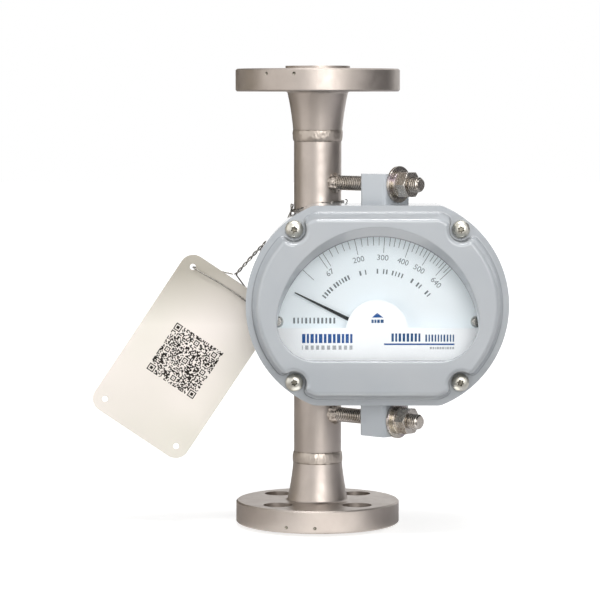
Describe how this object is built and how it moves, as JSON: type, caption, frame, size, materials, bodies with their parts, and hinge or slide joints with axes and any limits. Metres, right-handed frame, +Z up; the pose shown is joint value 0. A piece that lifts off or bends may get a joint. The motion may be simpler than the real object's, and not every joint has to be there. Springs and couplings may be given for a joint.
{
  "type": "rotameter",
  "caption": "Flanged metal-tube rotameter with a magnetically driven dial in a round-sided housing hung on two studs, and a wired tag.",
  "frame": {"origin": "centre of the lower flange's raised face, on the axis of the meter tube", "axes": "+Z up along the flow, from the inlet to the outlet; -Y out of the dial towards the reader; +X to the reader's right"},
  "size_m": [0.2223, 0.1104, 0.25],
  "materials": {
    "meter_steel": "bead-blasted stainless steel",
    "inner_steel": "turned stainless steel",
    "magnet": "dark sintered magnet",
    "fastener_steel": "bright stainless steel",
    "housing_paint": "light blue-grey paint on die-cast aluminium",
    "seal_rubber": "matt black",
    "window_glass": "clear float glass",
    "dial_paint": "matt white, printed",
    "movement_brass": "turned brass",
    "movement_sheet": "plain sheet aluminium",
    "shaft_steel": "ground steel",
    "pointer_black": "matt black",
    "tag_steel": "thin stainless sheet",
    "wire_steel": "twisted steel wire"
  },
  "bodies": {
    "root": {"lower_flange": "meter_steel", "upper_flange": "meter_steel", "meter_tube": "meter_steel", "lower_weld": "meter_steel", "upper_weld": "meter_steel", "lower_guide": "inner_steel", "upper_guide": "inner_steel", "measuring_cone": "inner_steel", "guide_rod": "inner_steel", "stop_sleeve": "inner_steel", "brake_magnet": "magnet", "studs": "fastener_steel", "stud_washers": "fastener_steel", "stud_spring_washers": "fastener_steel", "stud_nuts": "fastener_steel", "cover_screws": "fastener_steel", "dial_screws": "fastener_steel", "name_plate_screws": "fastener_steel", "bracket_screws": "fastener_steel", "rear_casing": "housing_paint", "front_cover": "housing_paint", "cover_gasket": "seal_rubber", "window_seal": "seal_rubber", "window_glass": "window_glass", "dial_plate": "dial_paint", "name_plate": "dial_paint", "dial_posts": "movement_brass", "name_plate_spacers": "movement_brass", "rear_bearing": "movement_brass", "front_bearing": "movement_brass", "movement_bracket": "movement_sheet", "identification_tag": "tag_steel", "wire_loop": "wire_steel", "wire_run": "wire_steel", "wire_bridle": "wire_steel"},
    "float": {"float_body": "inner_steel", "float_magnet": "magnet", "float_cap": "inner_steel"},
    "pointer": {"pointer_shaft": "shaft_steel", "pointer_hub": "movement_sheet", "pointer": "pointer_black", "follower_arm": "movement_sheet", "follower_magnet": "magnet", "counterweight": "movement_brass", "damping_disc": "movement_sheet"}
  },
  "joints": [
    {"name": "float_travel", "type": "slide", "parent": "root", "child": "float", "axis": [0, 0, 1], "range_m": [0, 0.057]},
    {"name": "pointer_turn", "type": "hinge", "parent": "root", "child": "pointer", "pos_m": [0.0313, -0.04, 0.106], "axis": [0, 1, 0], "range_deg": [0, 112]}
  ],
  "couplings": [
    {"joint": "pointer_turn", "follows": "float_travel", "rad_per_m": 34.294}
  ]
}
